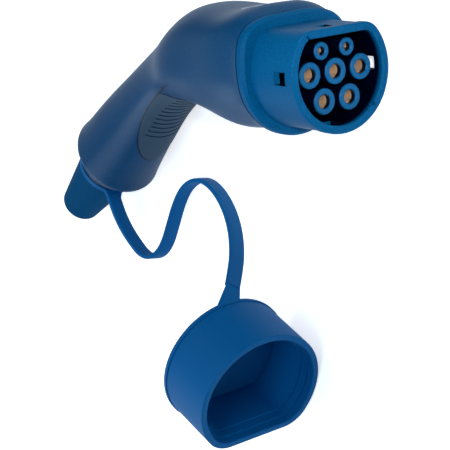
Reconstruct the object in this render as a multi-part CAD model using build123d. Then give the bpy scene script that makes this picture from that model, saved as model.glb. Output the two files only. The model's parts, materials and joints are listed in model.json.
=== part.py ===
from build123d import *
import math
import os

os.makedirs("parts", exist_ok=True)

# Vehicle-side charging connector with a tethered sealing cap, lying on its flank.
# X runs along the nose, forwards out of the mouth. Y points to the flat side of the nose.
# Z is up, and the floor lies one barrel radius below the nose axis.
# The origin is the mouth of the earth contact's sleeve, on the nose axis.
# The connector is drawn with its mid-plane level, then rolled about the nose axis until
# the grip end touches the floor as well.

# Contact layout
contact_pitch = 14.6
signal_row_height = 10.0
power_sleeve_radius = 5.9
power_mouth_radius = 3.3
power_socket_radius = 4.2
power_bore_radius = 3.0
signal_sleeve_radius = 4.05
signal_mouth_radius = 1.95
signal_socket_radius = 2.5
signal_bore_radius = 1.5
mouth_lip_depth = 3.2
socket_clearance = 0.1

# Nose shroud
nose_radius = 27.4
nose_flat = 19.8
nose_corner = 8.9
shroud_wall = 3.3
rim_bead = 0.5
rim_bead_length = 4.2
rim_rounding = 0.6
sleeve_chamfer = 0.4
rim_ahead = 3.7
recess_depth = 25.0
window_length = 8.0
window_width = 6.0
window_behind_rim = 5.8
notch_width = 1.1
notch_reach = 1.3
notch_depth = 1.6
notch_turns = [45.0, 226.0]

# Flange and the spigot that plugs into the handle
flange_front = -27.0
flange_length = 4.2
flange_edge = 1.4
seal_thickness = 0.8
seal_inset = 0.5
spigot_length = 14.0
spigot_wall = 2.4
fit_gap = 0.15
lug_height = 1.0
lug_length = 3.0
lug_width = 10.0
lug_ahead = 4.0
floor_thickness = 7.0

# Barrel and grip of the handle, with sections of their own below
barrel_radius = 31.5
barrel_flat = 25.3
barrel_squareness = 3.4
shell_wall = 2.8
mouth_wall = 2.6
end_wall = 6.0
end_rounding = 4.5
grip_angle = 218.0
grip_end_x = -187.5
grip_end_y = -60.0
grip_end_height = 24.8
grip_end_width = 22.8

# Contact carrier inside the spigot, its sleeves standing through the nose's floor
carrier_thickness = 5.7
carrier_gap = 0.1
chamber_length = 10.8
collar_length = 2.6
collar_step = 0.8
chamber_wall = 1.9
crimp_length = 14.0
power_crimp_radius = 3.6
signal_crimp_radius = 2.1
crimp_wall = 1.1
slot_length = 14.0
slot_width = 0.8
spring_length = 6.0
spring_thickness = 0.4
socket_depth = 17.0
retainer_thickness = 3.0
retainer_gap = 0.3
screw_radius = 1.25
screw_clearance = 0.15
screw_grip = 4.5
screw_head_radius = 2.4
screw_head_height = 1.8
boss_radius = 3.1
resistor_radius = 1.3
resistor_lead = 0.35

# Label plate
label_length = 13.5
label_width = 24.0
label_thickness = 0.6
label_centre_x = -45.5
label_depth = 0.25

# Grip pad, edged by an arc seen from the side: distances along the grip axis from its end
pad_near = -29.0
pad_far = -117.0
pad_middle = -68.0
pad_edge_depth = 9.3
pad_edge_radius = 75.0
pad_corner = 7.0
pad_proud = 0.35
pad_depth = 1.3
pad_gap = 0.12
pad_rib_count = 11
pad_rib_pitch = 3.5
pad_rib_middle = -66.0
pad_rib_span = 21.0
pad_groove_width = 1.0
pad_groove_depth = 0.5

# Gland, boot and tether ring, measured along the grip axis from the grip end
cable_radius = 6.6
collar_radius = 15.2
collar_height = 8.0
ring_thickness = 2.4
ring_gap = 0.3
ring_outer = 15.6
groove_radius = 11.0
thread_radius = 11.0
nut_height = 5.0
nut_across = 27.0
sleeve_radius = 10.0
sleeve_height = 17.0
boot_length = 38.0
boot_base_radius = 15.2
boot_end_radius = 10.2
boot_edge = 2.5
tongue_length = 22.0
tongue_radius = 10.8
saddle_length = 12.0
saddle_gap = 0.5
clamp_screw_radius = 1.0
clamp_head_radius = 1.9
seal_radius = 8.8
seal_length = 7.0

# Strap of the cap, rooted on its ring at a turn from the underside
strap_width = 7.6
strap_thickness = 2.3
ring_root_turn = 15.0

# Cap, fitted to the nose
cap_seat_gap = 0.2
cap_step = 0.9
cap_step_depth = 4.4
cap_wall = 3.1
cap_length = 34.0
cap_floor = 2.8
cap_flange = 0.5
cap_flange_length = 3.0
cap_back_rounding = 1.6
cap_lip_rounding = 0.6
cap_heading = -21.0
cap_roll = 14.5
cap_rim_x = -40.3
cap_rim_y = -155.4

# Derived places
rim_front = rim_ahead
recess_floor = rim_front - recess_depth
floor_rear = recess_floor - floor_thickness
base_rear = floor_rear - carrier_thickness
chamber_rear = base_rear - chamber_length
flange_rear = flange_front - flange_length
shell_front = flange_rear - seal_thickness
spigot_rear = shell_front - spigot_length
row_drop = contact_pitch * math.sqrt(3) / 2
grip_rad = math.radians(grip_angle)
along_grip = Vector(math.cos(grip_rad), math.sin(grip_rad), 0)
grip_end = Vector(grip_end_x, grip_end_y, 0)

# Frame of the grip axis: X along it, Y out of the underside, Z out of the mid-plane
grip_frame = Plane(origin=grip_end, x_dir=along_grip, z_dir=(0, 0, 1))

# Roll that brings the grip end down to the floor
def rest_roll():
    def lowest(angle):
        lift = grip_end_height * abs(math.cos(grip_rad)) * math.sin(angle)
        reach = math.hypot(grip_end_width * math.cos(angle), lift)
        return grip_end_y * math.sin(angle) - reach
    low, high = 0.0, 0.5
    for _ in range(40):
        middle = (low + high) / 2
        if lowest(middle) > -barrel_radius:
            low = middle
        else:
            high = middle
    return math.degrees(low)


roll = rest_roll()
resting = Rotation(roll, 0, 0)


# Closed section, flattened above by its squareness and elliptical below
def oval(up, down, half, squareness=2.0, count=32):
    points = []
    for i in range(count):
        t = 2 * math.pi * i / count
        c, s = math.cos(t), math.sin(t)
        power = 2.0 / squareness if c > 0 else 1.0
        side = -half * math.copysign(abs(s) ** power, s)
        points.append((side, up * c ** power if c > 0 else down * c))
    return Wire([Edge.make_spline([Vector(*p, 0) for p in points], periodic=True)])


def oval_face(up, down, half, squareness=2.0):
    return Face(oval(up, down, half, squareness))


# Plane square to the mid-plane path: its Y is the back of the hand, its X is up
def station(x, y, angle):
    a = math.radians(angle)
    return Plane(origin=(x, y, 0), x_dir=(0, 0, 1), z_dir=(math.cos(a), math.sin(a), 0))


# D outline: a circle with a flat on the +Y side and rounded corners
def d_outline(radius, flat, corner):
    cy = flat - corner
    cx = math.sqrt((radius - corner) ** 2 - cy ** 2)
    a = math.atan2(cy, cx)
    right = (cx + corner * math.cos(a), cy + corner * math.sin(a))
    left = (-right[0], right[1])
    mid = math.radians(45) + a / 2
    bulge = (cx + corner * math.cos(mid), cy + corner * math.sin(mid))
    edges = [
        Edge.make_line(Vector(cx, flat), Vector(-cx, flat)),
        Edge.make_three_point_arc(Vector(-cx, flat), Vector(-bulge[0], bulge[1]), Vector(*left)),
        Edge.make_three_point_arc(Vector(*left), Vector(0, -radius), Vector(*right)),
        Edge.make_three_point_arc(Vector(*right), Vector(*bulge), Vector(cx, flat)),
    ]
    return Face(Wire(edges))


# Solid on the nose axis between two stations, from a face drawn in the cross plane
def along_nose(face, x_from, x_to):
    base = Plane(origin=(x_from, 0, 0), x_dir=(0, 0, -1), z_dir=(1, 0, 0))
    return extrude(base * face, amount=x_to - x_from, dir=(1, 0, 0))


def nose_disc(radius, x_from, x_to, y=0.0, z=0.0):
    return along_nose(Pos(-z, y) * Face(Wire.make_circle(radius)), x_from, x_to)


# Solid of revolution about the grip axis: (distance along it, radius) pairs
def turned_on_grip(profile):
    face = Face(Wire.make_polygon([Vector(*p) for p in profile]))
    return revolve(grip_frame * face, Axis(grip_end, along_grip), 360)


def turned_on_nose(profile, y, z):
    plane = Plane(origin=(0, y, z), x_dir=(1, 0, 0), z_dir=(0, 0, 1))
    face = Face(Wire.make_polygon([Vector(*p) for p in profile]))
    return revolve(plane * face, Axis((0, y, z), (1, 0, 0)), 360)


# name, y, z, kind
contacts = [
    ("earth_contact", 0.0, 0.0, "power"),
    ("neutral_contact", 0.0, contact_pitch, "power"),
    ("line_1_contact", 0.0, -contact_pitch, "power"),
    ("line_2_contact", -row_drop, contact_pitch / 2, "power"),
    ("line_3_contact", -row_drop, -contact_pitch / 2, "power"),
    ("proximity_contact", signal_row_height, contact_pitch / 2, "signal"),
    ("pilot_contact", signal_row_height, -contact_pitch / 2, "signal"),
]
sleeve_radius_of = {"power": power_sleeve_radius, "signal": signal_sleeve_radius}
mouth_radius_of = {"power": power_mouth_radius, "signal": signal_mouth_radius}
socket_radius_of = {"power": power_socket_radius, "signal": signal_socket_radius}
bore_radius_of = {"power": power_bore_radius, "signal": signal_bore_radius}
crimp_radius_of = {"power": power_crimp_radius, "signal": signal_crimp_radius}

# Three long screws hold the retainer and the carrier to the nose, through bosses
boss_places = [(-20.6, 0.0), (7.6, 19.6), (7.6, -19.6)]
lug_turns = [0, 90, -90]


# Shroud, floor, flange and spigot in one moulding
def nose_housing():
    shroud = along_nose(nose_outline(0.0), floor_rear, rim_front)
    shroud += along_nose(nose_outline(rim_bead), rim_front - rim_bead_length, rim_front)
    shroud -= along_nose(nose_outline(-shroud_wall), recess_floor, rim_front + 1)
    window_middle = rim_front - window_behind_rim - window_length / 2
    through = 2 * nose_radius + 4
    window = Pos(window_middle, 0, 0)
    shroud -= [
        window * Box(window_length, window_width, through),
        window * Box(window_length, through, window_width),
    ]
    flange = along_nose(
        oval_face(barrel_flat, barrel_radius, barrel_radius, barrel_squareness),
        flange_rear,
        flange_front,
    )
    flange = chamfer(flange.faces().sort_by(Axis.X)[-1].edges(), flange_edge)
    spigot = along_nose(section_inside(mouth_wall + fit_gap), spigot_rear, flange_rear)
    inside = along_nose(section_inside(spigot_bore), spigot_rear - 1, floor_rear)
    lugs = [lug(turn, 0.0) for turn in lug_turns]
    body = shroud + [flange, spigot] - inside + lugs
    bored = [rim_notch(turn) for turn in notch_turns]
    for name, y, z, kind in contacts:
        hole = sleeve_radius_of[kind] + carrier_gap
        bored.append(nose_disc(hole, floor_rear - 1, recess_floor + 1, y, z))
    for y, z in boss_places:
        bored.append(nose_disc(screw_radius, floor_rear - 1, floor_rear + screw_grip, y, z))
    body -= bored
    rim_edges = body.edges().filter_by_position(Axis.X, rim_front - 0.01, rim_front + 0.01)
    return body.fillet(rim_rounding, rim_edges)


# Small notch in the inner edge of the rim, at a turn from the +Y side
def rim_notch(turn):
    inner = nose_radius - shroud_wall
    middle = inner + notch_reach - 2
    block = Pos(rim_front, middle, 0) * Box(2 * notch_depth, 4, notch_width)
    return Rotation(turn, 0, 0) * block


# Plate in the spigot with a sleeve ahead and a chamber behind for every contact
def contact_carrier():
    body = along_nose(section_inside(spigot_bore + carrier_gap), base_rear, floor_rear)
    added = []
    bored = []
    for name, y, z, kind in contacts:
        socket = socket_radius_of[kind] + socket_clearance
        collar = socket + collar_step
        added.append(nose_disc(sleeve_radius_of[kind], floor_rear - 1, 0, y, z))
        added.append(nose_disc(collar + chamber_wall, chamber_rear, base_rear + 1, y, z))
        bored.append(nose_disc(mouth_radius_of[kind], -mouth_lip_depth - 1, 1, y, z))
        bored.append(nose_disc(socket, chamber_rear - 1, -mouth_lip_depth, y, z))
        bored.append(nose_disc(collar, chamber_rear - 1, chamber_rear + collar_length, y, z))
    for y, z in boss_places:
        hole = screw_radius + screw_clearance
        added.append(nose_disc(boss_radius, chamber_rear, base_rear + 1, y, z))
        bored.append(nose_disc(hole, chamber_rear - 1, floor_rear + 1, y, z))
    body = body + added - bored
    mouths = body.edges().filter_by_position(Axis.X, -0.01, 0.01)
    return body.chamfer(sleeve_chamfer, None, mouths.filter_by(GeomType.CIRCLE))


# The nose's own outline, drawn outwards by a distance
def nose_outline(grow):
    return d_outline(nose_radius + grow, nose_flat + grow, nose_corner + grow)


# Section of the handle's mouth, drawn inwards by a distance
def section_inside(inset):
    return oval_face(
        barrel_flat - inset, barrel_radius - inset, barrel_radius - inset, barrel_squareness
    )


# Inset of the spigot's bore from the handle's outer section
spigot_bore = mouth_wall + fit_gap + spigot_wall


# Snap lug on the spigot, or its pocket in the shell when grown
def lug(turn, grow):
    reach = barrel_radius - mouth_wall - fit_gap + lug_height + grow
    length = lug_length + 2 * grow
    width = lug_width + 2 * grow
    middle = spigot_rear + lug_ahead
    block = Pos(middle, -reach + 1.5, 0) * Box(length, 3, width)
    return Rotation(turn, 0, 0) * block


def nose_seal():
    ring = along_nose(section_inside(seal_inset), shell_front, flange_rear)
    inner = section_inside(mouth_wall + fit_gap)
    return ring - along_nose(inner, shell_front - 1, flange_rear + 1)


def contact(y, z, kind):
    outer = socket_radius_of[kind]
    bore = bore_radius_of[kind]
    crimp = crimp_radius_of[kind]
    front = -mouth_lip_depth
    collar_front = chamber_rear + collar_length
    relief = outer - spring_thickness
    spring_front = front - 2
    spring_rear = spring_front - spring_length
    body = turned_on_nose(
        [
            (front, bore),
            (front, outer),
            (spring_front, outer),
            (spring_front, relief),
            (spring_rear, relief),
            (spring_rear, outer),
            (collar_front, outer),
            (collar_front, outer + collar_step),
            (chamber_rear, outer + collar_step),
            (chamber_rear, crimp),
            (chamber_rear - crimp_length, crimp),
            (chamber_rear - crimp_length, crimp - crimp_wall),
            (chamber_rear - 2, crimp - crimp_wall),
            (chamber_rear - 2, 0),
            (front - socket_depth, 0),
            (front - socket_depth, bore),
        ],
        y,
        z,
    )
    slot = Pos(front - slot_length / 2 + 1, 0, 0) * Box(slot_length + 2, 2 * outer + 2, slot_width)
    for turn in (45, 135):
        body -= Pos(0, y, z) * Rotation(turn, 0, 0) * slot
    return body


def contact_springs(kind_wanted):
    bands = []
    for name, y, z, kind in contacts:
        if kind == kind_wanted:
            outer = socket_radius_of[kind]
            relief = outer - spring_thickness
            rear = -mouth_lip_depth - 2 - spring_length
            band = nose_disc(outer, rear, rear + spring_length, y, z)
            bands.append(band - nose_disc(relief, rear - 1, rear + spring_length + 1, y, z))
    return Compound(bands)


def contact_retainer():
    rear = chamber_rear - retainer_thickness
    plate = along_nose(section_inside(spigot_bore + retainer_gap), rear, chamber_rear)
    for name, y, z, kind in contacts:
        plate -= nose_disc(crimp_radius_of[kind] + 0.1, rear - 1, chamber_rear + 1, y, z)
    for y, z in boss_places:
        plate -= nose_disc(screw_radius + screw_clearance, rear - 1, chamber_rear + 1, y, z)
    return plate


def retainer_screws():
    rear = chamber_rear - retainer_thickness
    screws = []
    for y, z in boss_places:
        shank = nose_disc(screw_radius, rear, floor_rear + screw_grip - 0.5, y, z)
        head = nose_disc(screw_head_radius, rear - screw_head_height, rear, y, z)
        drive = nose_disc(0.9, rear - screw_head_height - 1, rear - screw_head_height + 1, y, z)
        screws.append(shank + head - drive)
    return Compound(screws)


# Resistor soldered between the proximity and earth crimps
def coding_resistor():
    rear = chamber_rear - retainer_thickness
    x = rear - resistor_radius
    y, z = signal_row_height, contact_pitch / 2
    span = math.hypot(y, z)
    ey, ez = y / span, z / span
    start = Vector(x, ey * power_crimp_radius, ez * power_crimp_radius)
    end = Vector(x, y - ey * signal_crimp_radius, z - ez * signal_crimp_radius)
    gap = (end - start).length
    run = Plane(origin=start, z_dir=end - start)
    lead = run * Pos(0, 0, gap / 2) * Cylinder(resistor_lead, gap)
    return lead + run * Pos(0, 0, gap / 2) * Cylinder(resistor_radius, gap - 1.6)


# Stations along the barrel: x, y, path angle, back beyond the barrel's flat, underside and
# flanks inside its radius, squareness
barrel_stations = [
    (-50.0, 0.0, 180, 1.6, 1.4, 0.6, 3.3),
    (-67.0, -0.3, 181, 1.4, 2.5, 2.1, 2.9),
    (-83.0, -1.8, 187, 3.2, 7.9, 3.1, 2.3),
    (-98.0, -4.8, 198, -0.2, 12.9, 4.5, 2.05),
]

# Stations along the grip: x, y, path angle, back, underside, half width
grip_stations = [
    (-112.5, -9.2, 209, 20.4, 14.5, 21.6),
    (-128.5, -17.4, 215, 19.6, 13.1, 18.2),
    (-146.0, -28.6, 218, 20.2, 15.6, 17.8),
    (-162.5, -40.6, 218, 21.6, 19.0, 19.2),
    (-176.5, -51.6, 218, 22.4, 21.1, 21.3),
]


# Place and size of every section, from the handle's mouth to the grip end
def handle_sections(start_x, end_shift):
    flat, wide = barrel_flat, barrel_radius
    end = grip_end + along_grip * end_shift
    sections = [(start_x, 0.0, 180, flat, wide, wide, barrel_squareness)]
    for x, y, angle, back, under, side, square in barrel_stations:
        sections.append((x, y, angle, flat + back, wide - under, wide - side, square))
    for x, y, angle, back, under, half in grip_stations:
        sections.append((x, y, angle, back, under, half, 2.0))
    height, half = grip_end_height, grip_end_width
    sections.append((end.X, end.Y, grip_angle, height, height, half, 2.0))
    return sections


def handle_loft(grow, start_x, end_shift):
    wires = []
    for x, y, angle, back, under, half, square in handle_sections(start_x, end_shift):
        outline = oval(back + grow, under + grow, half + grow, square)
        wires.append(station(x, y, angle) * outline)
    return Solid.make_loft(wires)


def handle_shell():
    body = handle_loft(0.0, shell_front, 0.0)
    cavity = handle_loft(-shell_wall, spigot_rear + 4, -end_wall)
    mouth = along_nose(section_inside(mouth_wall), spigot_rear - 1, shell_front + 1)
    body -= [cavity, mouth]
    end_face = body.faces().sort_by(Axis(grip_end, along_grip))[-1]
    body = body.fillet(end_rounding, end_face.edges())
    bore = turned_on_grip([(-end_wall - 2, 0), (-end_wall - 2, thread_radius + 0.1),
                           (1, thread_radius + 0.1), (1, 0)])
    pockets = [bore] + [lug(turn, 0.3) for turn in lug_turns]
    pockets.append(label_block(label_thickness + label_depth + 5, 0.15))
    pockets.append(pad_block(pad_depth, pad_gap))
    return body - pockets


def label_block(height, grow):
    floor = barrel_flat - label_thickness - label_depth
    block = Box(
        label_length + 2 * grow,
        height,
        label_width + 2 * grow,
        align=(Align.CENTER, Align.MIN, Align.CENTER),
    )
    block = fillet(block.edges().filter_by(Axis.Y), 2.0)
    return Pos(label_centre_x, floor, 0) * block


def label_plate():
    return label_block(label_thickness, 0.0)


# Lens shaped outline of the pad from the side, in the grip's frame
def pad_outline(grow):
    def edge_point(along):
        run = along - pad_middle
        rise = pad_edge_radius - math.sqrt(pad_edge_radius ** 2 - run ** 2)
        return Vector(along, pad_edge_depth + rise)
    near, far = edge_point(pad_near), edge_point(pad_far)
    arc = Edge.make_three_point_arc(far, edge_point(pad_middle), near)
    face = Face(Wire([arc, Edge.make_line(near, far)]))
    face = face.fillet_2d(pad_corner, face.vertices().sort_by(Axis.X)[0:1])
    return offset(face, amount=grow) if grow else face


# The pad's lens run through the grip, less the handle drawn in by a depth
def pad_block(depth, grow):
    reach = barrel_radius + 2
    prism = extrude(grip_frame * pad_outline(grow), amount=reach, both=True)
    return prism - handle_loft(-depth, shell_front, 0.0)


def grip_pad():
    body = pad_block(pad_depth, 0.0) & handle_loft(pad_proud, shell_front, 0.0)
    first = pad_rib_middle - (pad_rib_count - 1) / 2 * pad_rib_pitch
    slab = Box(pad_groove_width, 4 * barrel_radius, pad_rib_span)
    slabs = [grip_frame * Pos(first + i * pad_rib_pitch, 0, 0) * slab for i in range(pad_rib_count)]
    return body - (Compound(slabs) - handle_loft(pad_proud - pad_groove_depth, shell_front, 0.0))


def gland_body():
    ring_rear = collar_height
    groove_end = collar_height + ring_thickness + 2 * ring_gap
    body = turned_on_grip(
        [
            (-end_wall - nut_height - 4, cable_radius + 0.6),
            (-end_wall - nut_height - 4, thread_radius),
            (0, thread_radius),
            (0, collar_radius),
            (ring_rear, collar_radius),
            (ring_rear, groove_radius),
            (groove_end, groove_radius),
            (groove_end, sleeve_radius),
            (groove_end + sleeve_height, sleeve_radius),
            (groove_end + sleeve_height, cable_radius + 0.6),
        ]
    )
    seat = -end_wall - nut_height - 4
    body -= turned_on_grip([(seat - 1, 0), (seat - 1, seal_radius),
                            (seat + seal_length, seal_radius), (seat + seal_length, 0)])
    tongue = turned_on_grip([(seat - tongue_length, cable_radius + 0.6),
                             (seat - tongue_length, tongue_radius),
                             (seat, tongue_radius), (seat, cable_radius + 0.6)])
    keep = grip_frame * Pos(seat - tongue_length / 2, 0, -tongue_radius / 2 - 1) * Box(
        tongue_length + 1, 2 * tongue_radius + 2, tongue_radius + 2)
    holes = [clamp_drill(clamp_screw_radius, -5, 1, x, y) for x, y in clamp_screw_places]
    return body + (tongue & keep) - holes


def gland_nut():
    hexagon = Plane(origin=grip_end - along_grip * (end_wall + nut_height), z_dir=along_grip)
    body = extrude(hexagon * RegularPolygon(nut_across / 2, 6, major_radius=False), nut_height)
    return body - turned_on_grip([(-30, 0), (-30, thread_radius), (1, thread_radius), (1, 0)])


def gland_seal():
    seat = -end_wall - nut_height - 4
    return turned_on_grip([(seat, cable_radius), (seat, seal_radius),
                           (seat + seal_length, seal_radius), (seat + seal_length, cable_radius)])


def boot():
    start = collar_height + ring_thickness + 2 * ring_gap
    end = start + boot_length
    body = turned_on_grip(
        [
            (start, sleeve_radius),
            (start, boot_base_radius),
            (end, boot_end_radius),
            (end, cable_radius),
            (start + sleeve_height, cable_radius),
            (start + sleeve_height, sleeve_radius),
        ]
    )
    tip = body.edges().filter_by(GeomType.CIRCLE).sort_by(Axis(grip_end, along_grip))[-2:]
    return body.fillet(boot_edge, [tip.sort_by(lambda e: e.radius)[-1]])


# Saddle that clamps the cable on the gland's tongue
gland_rear = -end_wall - nut_height - 4
clamp_middle = gland_rear - tongue_length / 2
clamp_screw_places = [(clamp_middle - 3.5, 9.0), (clamp_middle + 3.5, -9.0)]


def clamp_drill(radius, z_from, z_to, x, y):
    rod = Cylinder(radius, z_to - z_from, align=(Align.CENTER, Align.CENTER, Align.MIN))
    return grip_frame * Pos(x, y, z_from) * rod


def cable_clamp():
    inner = cable_radius + 0.2
    near, far = clamp_middle - saddle_length / 2, clamp_middle + saddle_length / 2
    band = turned_on_grip([(near, inner), (near, tongue_radius),
                           (far, tongue_radius), (far, inner)])
    upper = grip_frame * Pos(clamp_middle, 0, saddle_gap) * Box(
        saddle_length + 2,
        2 * tongue_radius + 2,
        tongue_radius + 1,
        align=(Align.CENTER, Align.CENTER, Align.MIN),
    )
    holes = []
    for x, y in clamp_screw_places:
        holes.append(clamp_drill(clamp_screw_radius + 0.1, -1, 12, x, y))
        holes.append(clamp_drill(clamp_head_radius + 0.3, 3.0, 12, x, y))
    return (band & upper) - holes


def clamp_screws():
    screws = []
    for x, y in clamp_screw_places:
        shank = clamp_drill(clamp_screw_radius, -4.0, 3.0, x, y)
        head = clamp_drill(clamp_head_radius, 3.0, 4.4, x, y)
        screws.append(shank + head - clamp_drill(0.7, 3.7, 5, x, y))
    return Compound(screws)


# Route of the strap on its edge, from the ring's root down to the floor and up to the cap
strap_route = [
    (-183.9, -80.6, -7.0),
    (-182.5, -85.0, -7.9),
    (-180.0, -90.3, -9.0),
    (-176.2, -96.4, -10.6),
    (-171.6, -102.4, -12.8),
    (-166.5, -107.7, -15.0),
    (-160.6, -109.0, -16.6),
    (-155.3, -106.2, -18.2),
    (-152.9, -100.4, -20.5),
    (-153.1, -91.0, -23.5),
    (-152.6, -81.4, -25.9),
    (-149.4, -72.9, -27.3),
    (-142.3, -67.4, -27.4),
    (-133.7, -65.2, -27.2),
    (-124.2, -66.4, -26.3),
    (-112.5, -70.8, -24.0),
    (-100.3, -77.4, -20.4),
    (-88.9, -84.9, -15.4),
    (-79.3, -92.5, -9.6),
    (-71.7, -99.6, -3.7),
    (-65.6, -105.6, 2.2),
]


def strap_path():
    points = [Vector(*p) for p in strap_route]
    radii = []
    for a, b, c in zip(points, points[1:], points[2:]):
        half_turn = math.radians((b - a).get_angle(c - b)) / 2
        radii.append(0.45 * min((b - a).length, (c - b).length) / math.tan(half_turn))
    print("strap arc radii", [round(r, 1) for r in radii])
    return FilletPolyline(*points, radius=radii)


def strap_section():
    half = strap_thickness * 0.25
    return RectangleRounded(strap_width, strap_thickness, half)


def cap_strap():
    path = strap_path()
    start = Vector(*strap_route[0])
    ahead = Vector(*strap_route[1]) - start
    level = Vector(ahead.X, ahead.Y, 0)
    plane = Plane(origin=start, x_dir=(0, 0, 1), z_dir=level)
    above = Pos(0, 0, 20) * path
    outline = (plane * strap_section()).face().outer_wire()
    band = Solid.sweep(outline, path=path, mode=above)
    section = strap_section().area
    print("strap length", round(path.length, 1), "volume ratio",
          round(band.volume / (section * path.length), 4))
    return band


# The strap's own end face, nearest to a point of its route
def strap_end_face(band, point):
    return band.faces().filter_by(GeomType.PLANE).sort_by(
        lambda f: (f.center() - Vector(*point)).length)[0]


# Ring of the strap, turning in the gland's groove, with a moulded root for the strap
def tether_ring(band):
    near = collar_height + ring_gap
    far = near + ring_thickness
    ring = turned_on_grip([(near, groove_radius + ring_gap), (near, ring_outer),
                           (far, ring_outer), (far, groove_radius + ring_gap)])
    face = strap_end_face(band, strap_route[0])
    turned = grip_frame * Rotation(ring_root_turn, 0, 0)
    seat = resting * (turned * Pos((near + far) / 2, ring_outer - 2, 0) * Rotation(-90, 0, 0))
    inner = seat * RectangleRounded(ring_thickness, strap_width + 3, 0.5)
    root = Solid.make_loft([inner.face().outer_wire(), face.outer_wire()])
    return resting * ring + root


# Frame of the cap: Z out of its mouth, Y down to its flat
cap_head = math.radians(cap_heading)
cap_axis = Vector(math.cos(cap_head), math.sin(cap_head), 0)
cap_side = Vector(-math.sin(cap_head), math.cos(cap_head), 0)
cap_top = cap_side * math.cos(math.radians(cap_roll)) + Vector(0, 0, math.sin(math.radians(cap_roll)))
cap_seat = rim_bead + cap_seat_gap
cap_outer = cap_seat + 2 * cap_step + cap_wall
cap_reach = nose_radius + cap_outer + cap_flange
cap_frame = Plane(
    origin=(cap_rim_x, cap_rim_y, cap_reach - barrel_radius),
    x_dir=cap_axis.cross(cap_top),
    z_dir=cap_axis,
)


def in_cap(grow, z_from, z_to):
    return cap_frame * Pos(0, 0, z_from) * extrude(nose_outline(grow), z_to - z_from)


def cap(band):
    back = -cap_length
    body = in_cap(cap_outer, back, 0)
    collar = in_cap(cap_outer + cap_flange, back, back + cap_flange_length)
    body += collar
    rear = body.faces().sort_by(Axis(cap_frame.origin, cap_axis))[0]
    body = fillet(rear.edges(), cap_back_rounding)
    body -= [
        in_cap(cap_seat, back + cap_floor, 1),
        in_cap(cap_seat + cap_step, -2 * cap_step_depth, 1),
        in_cap(cap_seat + 2 * cap_step, -cap_step_depth, 1),
    ]
    lip = body.faces().sort_by(Axis(cap_frame.origin, cap_axis))[-1]
    body = fillet(lip.edges(), cap_lip_rounding)
    face = strap_end_face(band, strap_route[-1])
    top = cap_frame * Pos(0, -(nose_radius + cap_outer - 1.2), back + 2.6)
    seat = Plane(origin=top.position, x_dir=cap_axis.cross(cap_top), z_dir=cap_top)
    root = Solid.make_loft([
        face.outer_wire(),
        seat * RectangleRounded(strap_width + 4, strap_thickness + 1.6, 0.8).wire(),
    ])
    return body + root


def write(name, shape):
    export_step(shape, f"parts/{name}.step")


def build():
    band = cap_strap()
    write("nose_housing", resting * nose_housing())
    write("contact_carrier", resting * contact_carrier())
    write("nose_seal", resting * nose_seal())
    for name, y, z, kind in contacts:
        write(name, resting * contact(y, z, kind))
    write("power_contact_springs", resting * contact_springs("power"))
    write("signal_contact_springs", resting * contact_springs("signal"))
    write("contact_retainer", resting * contact_retainer())
    write("retainer_screws", resting * retainer_screws())
    write("coding_resistor", resting * coding_resistor())
    write("handle_shell", resting * handle_shell())
    write("label_plate", resting * label_plate())
    write("grip_pad", resting * grip_pad())
    write("gland_body", resting * gland_body())
    write("gland_nut", resting * gland_nut())
    write("gland_seal", resting * gland_seal())
    write("cable_clamp", resting * cable_clamp())
    write("clamp_screws", resting * clamp_screws())
    write("boot", resting * boot())
    write("cap_strap", band)
    write("tether_ring", tether_ring(band))
    write("cap", cap(band))
    print("rest roll", round(roll, 2))


if __name__ == "__main__":
    build()
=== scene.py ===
import bpy
import bmesh
import json
import math
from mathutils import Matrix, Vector


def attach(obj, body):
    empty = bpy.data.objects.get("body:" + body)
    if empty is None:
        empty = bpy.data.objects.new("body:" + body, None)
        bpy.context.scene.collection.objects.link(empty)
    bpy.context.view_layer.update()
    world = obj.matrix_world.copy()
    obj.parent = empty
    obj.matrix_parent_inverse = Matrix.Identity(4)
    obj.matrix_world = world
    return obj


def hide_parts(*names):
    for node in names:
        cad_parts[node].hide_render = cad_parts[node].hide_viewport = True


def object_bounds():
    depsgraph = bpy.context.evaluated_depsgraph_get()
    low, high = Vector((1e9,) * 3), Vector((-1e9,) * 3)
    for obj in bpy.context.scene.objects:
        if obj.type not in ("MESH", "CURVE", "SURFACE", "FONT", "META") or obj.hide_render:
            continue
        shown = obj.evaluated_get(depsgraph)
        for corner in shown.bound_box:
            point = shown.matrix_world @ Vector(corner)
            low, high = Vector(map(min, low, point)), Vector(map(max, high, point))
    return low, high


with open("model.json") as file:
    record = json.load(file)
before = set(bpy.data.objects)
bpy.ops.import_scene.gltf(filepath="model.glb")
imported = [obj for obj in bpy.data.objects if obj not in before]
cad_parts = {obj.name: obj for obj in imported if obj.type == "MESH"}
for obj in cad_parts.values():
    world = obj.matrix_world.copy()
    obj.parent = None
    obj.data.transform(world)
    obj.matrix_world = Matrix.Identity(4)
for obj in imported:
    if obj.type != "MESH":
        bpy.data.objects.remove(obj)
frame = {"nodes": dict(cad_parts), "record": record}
nodes = frame["nodes"]
cadLow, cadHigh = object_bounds()
print("frame loaded,", len(nodes), "nodes")

connectorRoll = 8.3997   # degrees that the connector lies turned about its nose axis


# Camera, floor and light

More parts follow.
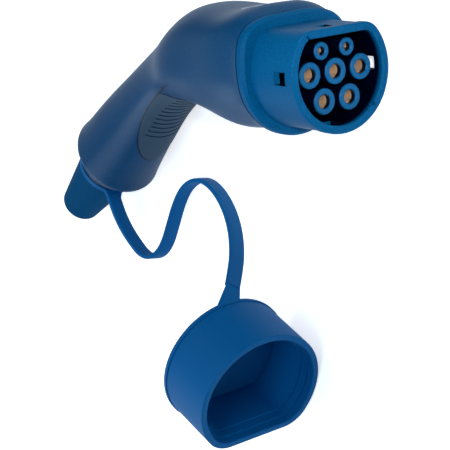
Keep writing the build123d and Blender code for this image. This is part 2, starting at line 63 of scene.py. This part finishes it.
cameraLook = {
    "place": (0.67521, 0.05068, 0.56518),
    "turn": (-4.5637, 53.3511, 4.1465),
    "lens": 158.24,
    "sensor": 36,
    "near": 0.02,
}
paper = {
    "size": 12.0,
    "drop": 0.0002,      # below the connector's lowest point
    "colour": (0.95, 0.95, 0.95, 1),
    "rough": 0.9,
    "shine": 0.1,
    "glow": 0.70,        # as the camera sees the paper
    "bounce": 0.22,      # as it lights the connector
}
sky = {
    "strength": 0.075,
    "tint": (0.74, 0.88, 1.0, 1),
    "darkSide": (0.80, 0.05, 0.60),   # the room behind the photographer is dim
    "darkFrom": 0.35,
    "darkTo": 0.92,
    "dimLevel": 0.005,
}
softboxes = {
    "softboxAbove": {
        "place": (-0.15, 0.55, 1.05), "size": 0.8, "power": 4.5, "tint": (0.80, 0.92, 1.0)},
    "softboxBehind": {
        "place": (-0.70, -0.80, 0.50), "size": 0.8, "power": 4.5, "tint": (0.80, 0.92, 1.0)},
    "softboxFill": {
        "place": (0.42, -0.22, 0.90), "size": 0.5, "power": 4.0, "tint": (0.62, 0.84, 1.0)},
    "backdropGlow": {
        "place": (-1.10, -0.12, 0.38), "size": 0.9, "power": 1.0, "tint": (0.80, 0.90, 1.0)},
}
softboxAim = (-0.09, -0.06, 0.0)
mouthSpot = {
    "place": (0.60, 0.12, 0.46),
    "aim": (-0.01, 0, 0),
    "power": 26,
    "tint": (1.0, 0.96, 0.90),
    "cone": 9,
    "blend": 1.0,
    "size": 0.04,
}


def makeCamera():
    bpy.ops.object.camera_add(location=cameraLook["place"])
    camera = bpy.context.object
    camera.rotation_euler = [math.radians(a) for a in cameraLook["turn"]]
    camera.data.sensor_width = cameraLook["sensor"]
    camera.data.lens = cameraLook["lens"]
    camera.data.clip_start = cameraLook["near"]
    bpy.context.scene.camera = camera
    bpy.context.scene.view_settings.view_transform = "Standard"


def makeFloor():
    level = cadLow.z - paper["drop"]
    bpy.ops.mesh.primitive_plane_add(size=paper["size"], location=(0, 0, level))
    floor = bpy.context.object
    floor.name = "studioFloor"
    bpy.ops.object.transform_apply(location=True, rotation=True, scale=True)
    material = bpy.data.materials.new("floorPaper")
    material.use_nodes = True
    tree = material.node_tree.nodes
    link = material.node_tree.links.new
    shader = tree["Principled BSDF"]
    shader.inputs["Base Color"].default_value = paper["colour"]
    shader.inputs["Roughness"].default_value = paper["rough"]
    shader.inputs["Specular IOR Level"].default_value = paper["shine"]
    shader.inputs["Emission Color"].default_value = (1, 1, 1, 1)
    rays = tree.new("ShaderNodeLightPath")
    glow = tree.new("ShaderNodeMapRange")
    glow.inputs["To Min"].default_value = paper["bounce"]
    glow.inputs["To Max"].default_value = paper["glow"]
    link(rays.outputs["Is Camera Ray"], glow.inputs["Value"])
    link(glow.outputs["Result"], shader.inputs["Emission Strength"])
    floor.data.materials.append(material)


def makeSky():
    world = bpy.data.worlds.new("studioSky")
    bpy.context.scene.world = world
    world.use_nodes = True
    tree = world.node_tree.nodes
    link = world.node_tree.links.new
    where = tree.new("ShaderNodeTexCoord")
    towards = tree.new("ShaderNodeVectorMath")
    towards.operation = "DOT_PRODUCT"
    towards.inputs[1].default_value = Vector(sky["darkSide"]).normalized()
    fall = tree.new("ShaderNodeMapRange")
    fall.interpolation_type = "SMOOTHSTEP"
    fall.inputs["From Min"].default_value = sky["darkFrom"]
    fall.inputs["From Max"].default_value = sky["darkTo"]
    fall.inputs["To Min"].default_value = sky["strength"]
    fall.inputs["To Max"].default_value = sky["dimLevel"]
    link(where.outputs["Generated"], towards.inputs[0])
    link(towards.outputs["Value"], fall.inputs["Value"])
    link(fall.outputs["Result"], tree["Background"].inputs["Strength"])
    tree["Background"].inputs["Color"].default_value = sky["tint"]


def addLight(name, kind, look, aim):
    bpy.ops.object.light_add(type=kind, location=look["place"])
    light = bpy.context.object
    light.name = name
    light.data.energy = look["power"]
    light.data.color = look["tint"]
    towards = Vector(aim) - Vector(look["place"])
    light.rotation_euler = towards.to_track_quat("-Z", "Y").to_euler()
    return light.data


def makeLights():
    makeSky()
    for name, look in softboxes.items():
        box = addLight(name, "AREA", look, softboxAim)
        box.shape = "DISK"
        box.size = look["size"]
    spot = addLight("mouthSpot", "SPOT", mouthSpot, mouthSpot["aim"])
    spot.spot_size = math.radians(mouthSpot["cone"])
    spot.spot_blend = mouthSpot["blend"]
    spot.shadow_soft_size = mouthSpot["size"]


# Shader groups


# A new group with its named inputs and outputs, and the sockets to link them by
def startGroup(name, takes, gives):
    group = bpy.data.node_groups.new(name, "ShaderNodeTree")
    for socket in takes:
        group.interface.new_socket(name=socket, in_out="INPUT", socket_type="NodeSocketFloat")
    for socket, kind in gives.items():
        group.interface.new_socket(name=socket, in_out="OUTPUT", socket_type=kind)
    entry = group.nodes.new("NodeGroupInput")
    leave = group.nodes.new("NodeGroupOutput")
    return group, entry.outputs, leave.inputs


# One step of arithmetic: each of the two operands is a value or another node's output
def mathStep(group, kind, operation, first, second=None):
    node = group.nodes.new(kind)
    node.operation = operation
    for socket, operand in zip(node.inputs, (first, second)):
        if isinstance(operand, bpy.types.NodeSocket):
            group.links.new(operand, socket)
        elif operand is not None:
            socket.default_value = operand
    return node


def number(group, operation, first, second=None):
    return mathStep(group, "ShaderNodeMath", operation, first, second).outputs["Value"]


def vector(group, operation, first, second):
    return mathStep(group, "ShaderNodeVectorMath", operation, first, second).outputs["Vector"]


def measure(group, operation, first, second=None):
    return mathStep(group, "ShaderNodeVectorMath", operation, first, second).outputs["Value"]


def alongX(group, direction):
    parts = group.nodes.new("ShaderNodeSeparateXYZ")
    group.links.new(direction, parts.inputs["Vector"])
    return parts.outputs["X"]


def satinGrain():
    gives = {"Normal": "NodeSocketVector", "Fleck": "NodeSocketFloat"}
    group, taken, given = startGroup("satinGrain", ["Scale", "Depth"], gives)
    where = group.nodes.new("ShaderNodeTexCoord")
    fine = group.nodes.new("ShaderNodeTexNoise")
    bump = group.nodes.new("ShaderNodeBump")
    link = group.links.new
    link(where.outputs["Object"], fine.inputs["Vector"])
    link(taken["Scale"], fine.inputs["Scale"])
    link(fine.outputs["Fac"], bump.inputs["Height"])
    link(taken["Depth"], bump.inputs["Distance"])
    link(bump.outputs["Normal"], given["Normal"])
    link(fine.outputs["Fac"], given["Fleck"])
    return group


# The mouth's bounds, and the near-black painted shade laid over its inside
mouth = {
    "back": -0.0235,         # behind the floor of the mouth, ahead of the flange
    "windowBack": -0.018,    # the windows' ends lie ahead of here
    "forwards": 0.5,         # and look ahead at least this much
    "paintedShadeColour": (0.0002, 0.001, 0.010, 1),
}


# Mask of painted shade: 1 on the inner walls and the floor of the mouth, where shade falls, and
# fades out from Full to Start towards its rim. Facing is how far a face may look outwards and
# still count as inside.
# The windows' ends stay out of it.
def mouthPaintedShade():
    group, taken, given = startGroup(
        "mouthPaintedShade", ["Start", "Full", "Facing"], {"Mask": "NodeSocketFloat"})
    where = group.nodes.new("ShaderNodeTexCoord").outputs
    ahead = alongX(group, where["Object"])
    across = vector(group, "MULTIPLY", where["Object"], (0, 1, 1))
    outwards = measure(group, "DOT_PRODUCT", across, where["Normal"])
    inside = number(group, "LESS_THAN", outwards, taken["Facing"])
    inFront = number(group, "GREATER_THAN", ahead, mouth["back"])
    within = number(group, "MULTIPLY", inside, inFront)
    deep = group.nodes.new("ShaderNodeMapRange")
    group.links.new(ahead, deep.inputs["Value"])
    group.links.new(taken["Start"], deep.inputs["From Min"])
    group.links.new(taken["Full"], deep.inputs["From Max"])
    faded = number(group, "MULTIPLY", within, deep.outputs["Result"])
    forwards = number(group, "GREATER_THAN", alongX(group, where["Normal"]), mouth["forwards"])
    shallow = number(group, "GREATER_THAN", ahead, mouth["windowBack"])
    windowEnd = number(group, "MULTIPLY", forwards, shallow)
    kept = mathStep(group, "ShaderNodeMath", "SUBTRACT", faded, windowEnd)
    kept.use_clamp = True
    group.links.new(kept.outputs["Value"], given["Mask"])
    return group


# Dark seam in the handle round the grip pad, which is an arc seen along the grip's flank
padSeam = {
    "centre": (0.082015, 0.084565, 0),   # added to a point to measure it from the arc's centre
    "radius": 0.0753,
    "grip": (-0.78801, -0.61566, 0),     # down along the grip
    "ahead": -0.0350,                    # how far the seam runs towards the barrel
    "half": 0.00025,
    "fade": 0.00065,
    "colour": (0.0002, 0.008, 0.030, 1),
}


def seamArc():
    group, taken, given = startGroup("seamArc", ["Radius"], {"Mask": "NodeSocketFloat"})
    where = group.nodes.new("ShaderNodeTexCoord")
    level = group.nodes.new("ShaderNodeMapping")
    level.inputs["Rotation"].default_value = (math.radians(-connectorRoll), 0, 0)
    level.inputs["Location"].default_value = padSeam["centre"]
    group.links.new(where.outputs["Object"], level.inputs["Vector"])
    flat = vector(group, "MULTIPLY", level.outputs["Vector"], (1, 1, 0))
    reach = measure(group, "LENGTH", flat)
    off = number(group, "SUBTRACT", reach, taken["Radius"])
    fade = group.nodes.new("ShaderNodeMapRange")
    fade.interpolation_type = "SMOOTHSTEP"
    fade.inputs["From Min"].default_value = padSeam["half"]
    fade.inputs["From Max"].default_value = padSeam["fade"]
    fade.inputs["To Min"].default_value = 1
    fade.inputs["To Max"].default_value = 0
    group.links.new(number(group, "ABSOLUTE", off), fade.inputs["Value"])
    along = measure(group, "DOT_PRODUCT", level.outputs["Vector"], padSeam["grip"])
    beside = number(group, "GREATER_THAN", along, padSeam["ahead"])
    shown = number(group, "MULTIPLY", fade.outputs["Result"], beside)
    group.links.new(shown, given["Mask"])
    return group


# Materials

plastics = {
    "shellSatin": {
        "colour": (0.0002, 0.062, 0.172), "rough": 0.40, "shine": 0.24,
        "grain": 1500, "depth": 0.00004, "fleck": 0.5},
    "noseSatin": {
        "colour": (0.0004, 0.095, 0.250), "rough": 0.42, "shine": 0.05,
        "grain": 1500, "depth": 0.00004, "fleck": 0.5},
    "carrierSatin": {
        "colour": (0.0004, 0.100, 0.265), "rough": 0.38, "shine": 0.16,
        "grain": 1500, "depth": 0.00004, "fleck": 0.5},
    "tetherSoft": {
        "colour": (0.0001, 0.128, 0.368), "rough": 0.55, "shine": 0.12,
        "grain": 2200, "depth": 0.00002, "fleck": 0.14},
    "bootSoft": {
        "colour": (0.0001, 0.074, 0.192), "rough": 0.6, "shine": 0.02,
        "grain": 1800, "depth": 0.00002, "fleck": 0.14},
    "glandDark": {
        "colour": (0.0005, 0.030, 0.095), "rough": 0.5, "shine": 0.35,
        "grain": 1500, "depth": 0.00002, "fleck": 0.14},
    "padSoft": {
        "colour": (0.020, 0.062, 0.120), "rough": 0.6, "shine": 0.45,
        "grain": 1800, "depth": 0.00003, "fleck": 0.14},
    "labelBare": {
        "colour": (0.42, 0.45, 0.58), "rough": 0.5, "shine": 0.5,
        "grain": 900, "depth": 0.00001, "fleck": 0.14},
    "sealBlack": {
        "colour": (0.01, 0.01, 0.012), "rough": 0.6, "shine": 0.5,
        "grain": 1500, "depth": 0.00001, "fleck": 0.14},
    "innerBlack": {
        "colour": (0.012, 0.012, 0.014), "rough": 0.5, "shine": 0.5,
        "grain": 1500, "depth": 0.00001, "fleck": 0.14},
    "steelPlain": {
        "colour": (0.4, 0.4, 0.42), "rough": 0.4, "shine": 0.5,
        "grain": 1500, "depth": 0.00001, "fleck": 0.14},
}
roughSpread = 0.05   # how far the grain takes a plastic's roughness up and down
brass = {"colour": (1.0, 0.74, 0.48, 1), "metal": 0.65, "rough": 0.45}
# Painted shade: the mouth's inner walls and floor, and the carrier sleeves' sides, are painted
# darker with depth
recessPaintedShade = {
    "noseSatin": {"Start": 0.0030, "Full": 0.0004, "Facing": 0.004},
    "carrierSatin": {"Start": -0.0004, "Full": -0.0012, "Facing": 1.0},
}
finishOfSlot = {
    "nose": "noseSatin",
    "shell": "shellSatin",
    "tether": "tetherSoft",
    "boot": "bootSoft",
    "gland": "glandDark",
    "pad": "padSoft",
    "label": "labelBare",
    "seal": "sealBlack",
    "inner": "innerBlack",
    "contact": "contactBrass",
    "steel": "steelPlain",
    "resistor": "innerBlack",
}
finishOfNode = {"contact_carrier": "carrierSatin"}   # its slot is the nose's


def plastic(name, look, grainGroup):
    material = bpy.data.materials.new(name)
    material.use_nodes = True
    tree = material.node_tree.nodes
    link = material.node_tree.links.new
    shader = tree["Principled BSDF"]
    shader.inputs["Specular IOR Level"].default_value = look["shine"]
    grain = tree.new("ShaderNodeGroup")
    grain.node_tree = grainGroup
    grain.inputs["Scale"].default_value = look["grain"]
    grain.inputs["Depth"].default_value = look["depth"]
    link(grain.outputs["Normal"], shader.inputs["Normal"])
    tone = tree.new("ShaderNodeMix")
    tone.data_type = "RGBA"
    tone.inputs["A"].default_value = [c * (1 - look["fleck"]) for c in look["colour"]] + [1]
    tone.inputs["B"].default_value = [c * (1 + look["fleck"]) for c in look["colour"]] + [1]
    link(grain.outputs["Fleck"], tone.inputs["Factor"])
    link(tone.outputs["Result"], shader.inputs["Base Color"])
    spread = tree.new("ShaderNodeMapRange")
    spread.inputs["To Min"].default_value = look["rough"] - roughSpread
    spread.inputs["To Max"].default_value = look["rough"] + roughSpread
    link(grain.outputs["Fleck"], spread.inputs["Value"])
    link(spread.outputs["Result"], shader.inputs["Roughness"])
    return material


def brassFinish():
    material = bpy.data.materials.new("contactBrass")
    material.use_nodes = True
    shader = material.node_tree.nodes["Principled BSDF"]
    shader.inputs["Base Color"].default_value = brass["colour"]
    shader.inputs["Metallic"].default_value = brass["metal"]
    shader.inputs["Roughness"].default_value = brass["rough"]
    return material


# Lays a colour over a finish where a group's mask is 1
def tintWhere(material, group, values, colour):
    tree = material.node_tree.nodes
    link = material.node_tree.links.new
    shader = tree["Principled BSDF"]
    under = shader.inputs["Base Color"].links[0].from_socket
    mask = tree.new("ShaderNodeGroup")
    mask.node_tree = group
    for socket, value in values.items():
        mask.inputs[socket].default_value = value
    tone = tree.new("ShaderNodeMix")
    tone.data_type = "RGBA"
    tone.inputs["B"].default_value = colour
    link(mask.outputs["Mask"], tone.inputs["Factor"])
    link(under, tone.inputs["A"])
    link(tone.outputs["Result"], shader.inputs["Base Color"])


def makeFinishes():
    grainGroup = satinGrain()
    paintedShadeGroup = mouthPaintedShade()
    made = {name: plastic(name, look, grainGroup) for name, look in plastics.items()}
    made["contactBrass"] = brassFinish()
    # Paint shade over the inside of the mouth and the sleeves' sides
    for name, values in recessPaintedShade.items():
        tintWhere(made[name], paintedShadeGroup, values, mouth["paintedShadeColour"])
    tintWhere(made["shellSatin"], seamArc(), {"Radius": padSeam["radius"]}, padSeam["colour"])
    return made


def dressNodes():
    for part in frame["record"]["subparts"]:
        name = part["node"]
        finish = finishOfNode.get(name, finishOfSlot[part["material_slot"]])
        for slot in nodes[name].material_slots:
            slot.link = "OBJECT"
            slot.material = finishes[finish]


# Strap between the ring and the cap, along the CAD strap's route with its ends sunk in both roots

strap = {
    "width": 0.0076,
    "thickness": 0.0023,
    "edgeRound": 0.0006,
    "edgeSteps": 3,
    "length": 0.185,
    "order": 3,
    "steps": 10,           # rings of the band between two points of the route
    "weld": 0.00001,
    "smoothAngle": 40,
    "route": [
        (-0.1848, -0.0786, -0.0066),
        (-0.1825, -0.0850, -0.0079),
        (-0.1800, -0.0903, -0.0090),
        (-0.1762, -0.0964, -0.0106),
        (-0.1716, -0.1024, -0.0128),
        (-0.1665, -0.1077, -0.0150),
        (-0.1606, -0.1090, -0.0166),
        (-0.1553, -0.1062, -0.0182),
        (-0.1529, -0.1004, -0.0205),
        (-0.1531, -0.0910, -0.0235),
        (-0.1526, -0.0814, -0.0259),
        (-0.1494, -0.0729, -0.0273),
        (-0.1423, -0.0674, -0.0274),
        (-0.1337, -0.0652, -0.0272),
        (-0.1242, -0.0664, -0.0263),
        (-0.1125, -0.0708, -0.0240),
        (-0.1003, -0.0774, -0.0204),
        (-0.0889, -0.0849, -0.0154),
        (-0.0793, -0.0925, -0.0096),
        (-0.0717, -0.0996, -0.0037),
        (-0.0640, -0.1072, 0.0038),
    ],
}


def strapLine():
    line = bpy.data.curves.new("strapLine", "CURVE")
    line.dimensions = "3D"
    line.twist_mode = "Z_UP"
    line.resolution_u = strap["steps"]
    spline = line.splines.new("NURBS")
    spline.points.add(len(strap["route"]) - 1)
    for point, place in zip(spline.points, strap["route"]):
        point.co = (*place, 1)
    spline.order_u = strap["order"]
    spline.use_endpoint_u = True
    band = bpy.data.objects.new("capStrapBand", line)
    bpy.context.scene.collection.objects.link(band)
    return band


# Rectangle with rounded corners
def strapProfile():
    outline = bpy.data.curves.new("strapProfile", "CURVE")
    spline = outline.splines.new("POLY")
    spline.use_cyclic_u = True
    corner = strap["edgeRound"]
    across = strap["thickness"] / 2 - corner
    along = strap["width"] / 2 - corner
    places = []
    corners = [
        (across, along, 0),
        (-across, along, 90),
        (-across, -along, 180),
        (across, -along, 270),
    ]
    for x, y, turn in corners:
        for step in range(strap["edgeSteps"] + 1):
            angle = math.radians(turn + 90 / strap["edgeSteps"] * step)
            places.append((x + corner * math.cos(angle), y + corner * math.sin(angle)))
    spline.points.add(len(places) - 1)
    for point, (x, y) in zip(spline.points, places):
        point.co = (x, y, 0, 1)
    profile = bpy.data.objects.new("strapProfile", outline)
    bpy.context.scene.collection.objects.link(profile)
    return profile


def makeActive(thing):
    for other in bpy.context.selected_objects:
        other.select_set(False)
    thing.select_set(True)
    bpy.context.view_layer.objects.active = thing


def makeStrap():
    band = strapLine()
    bpy.context.view_layer.update()
    centre = bpy.data.meshes.new_from_object(band)
    bpy.data.meshes.remove(centre)
    profile = strapProfile()
    band.data.bevel_mode = "OBJECT"
    band.data.bevel_object = profile
    band.data.use_fill_caps = True
    makeActive(band)
    bpy.ops.object.convert(target="MESH")
    band = bpy.context.object
    bpy.data.objects.remove(profile)
    bpy.ops.object.mode_set(mode="EDIT")
    bpy.ops.mesh.select_all(action="SELECT")
    bpy.ops.mesh.remove_doubles(threshold=strap["weld"])
    bpy.ops.mesh.normals_make_consistent(inside=False)
    bpy.ops.object.mode_set(mode="OBJECT")
    bpy.ops.object.shade_smooth_by_angle(angle=math.radians(strap["smoothAngle"]))
    band.data.materials.append(finishes["tetherSoft"])
    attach(band, "cap_tether")
    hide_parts("cap_strap")


# Bare label on the barrel's back, thicker than the CAD plate so that it lies flush

label = {
    "middle": -0.0455,       # along the nose axis
    "length": 0.0135,
    "width": 0.024,
    "blank": 0.002,          # thickness before its top is shaped
    "floor": 0.02447,        # bottom of its pocket, from the nose axis
    "frontTop": 0.02622,     # level with the barrel's back at each end
    "rearTop": 0.02702,
    "sideFall": 0.00028,     # how much lower its two sides are than its middle line
    "cornerRound": 0.002,
    "cornerSteps": 5,
    "cutSpacing": 0.0024,
    "cutsEachSide": 4,
    "edgeRound": 0.0002,
    "edgeSteps": 2,
    "edgeAngle": 40,
    "smoothAngle": 35,
}


def roundCorners(plate):
    mesh = bmesh.from_edit_mesh(plate.data)
    for edge in mesh.edges:
        run = edge.verts[0].co - edge.verts[1].co
        edge.select_set(abs(run.y) > label["blank"] / 2)
    bmesh.update_edit_mesh(plate.data)
    bpy.ops.mesh.bevel(
        offset=label["cornerRound"], segments=label["cornerSteps"], affect="EDGES")


def crownTop(plate):
    for cut in range(-label["cutsEachSide"], label["cutsEachSide"] + 1):
        bpy.ops.mesh.select_all(action="SELECT")
        bpy.ops.mesh.bisect(plane_co=(0, 0, cut * label["cutSpacing"]), plane_no=(0, 0, 1))
    mesh = bmesh.from_edit_mesh(plate.data)
    front = label["middle"] + label["length"] / 2
    for point in mesh.verts:
        if point.co.y > label["floor"] + label["blank"] / 2:
            share = (front - point.co.x) / label["length"]
            level = label["frontTop"] + share * (label["rearTop"] - label["frontTop"])
            out = abs(point.co.z) / (label["width"] / 2)
            point.co.y = level - label["sideFall"] * out ** 3
    bmesh.update_edit_mesh(plate.data)


def makeLabel():
    middle = (label["middle"], label["floor"] + label["blank"] / 2, 0)
    bpy.ops.mesh.primitive_cube_add(size=1, location=middle)
    plate = bpy.context.object
    plate.name = "labelPlateBare"
    plate.scale = (label["length"], label["blank"], label["width"])
    bpy.ops.object.transform_apply(location=True, rotation=True, scale=True)
    bpy.ops.object.mode_set(mode="EDIT")
    roundCorners(plate)
    crownTop(plate)
    bpy.ops.object.mode_set(mode="OBJECT")
    rounding = plate.modifiers.new("edgeRound", "BEVEL")
    rounding.width = label["edgeRound"]
    rounding.segments = label["edgeSteps"]
    rounding.angle_limit = math.radians(label["edgeAngle"])
    bpy.ops.object.modifier_apply(modifier="edgeRound")
    plate.rotation_euler = (math.radians(connectorRoll), 0, 0)
    bpy.ops.object.transform_apply(location=True, rotation=True, scale=True)
    bpy.ops.object.shade_smooth_by_angle(angle=math.radians(label["smoothAngle"]))
    plate.data.materials.append(finishes["labelBare"])
    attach(plate, "connector")
    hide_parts("label_plate")


makeCamera()
makeFloor()
makeLights()
print("camera, floor and lights placed")
finishes = makeFinishes()
dressNodes()
print("materials on", len(nodes), "nodes")
makeStrap()
print("strap made")
makeLabel()
print("label made")
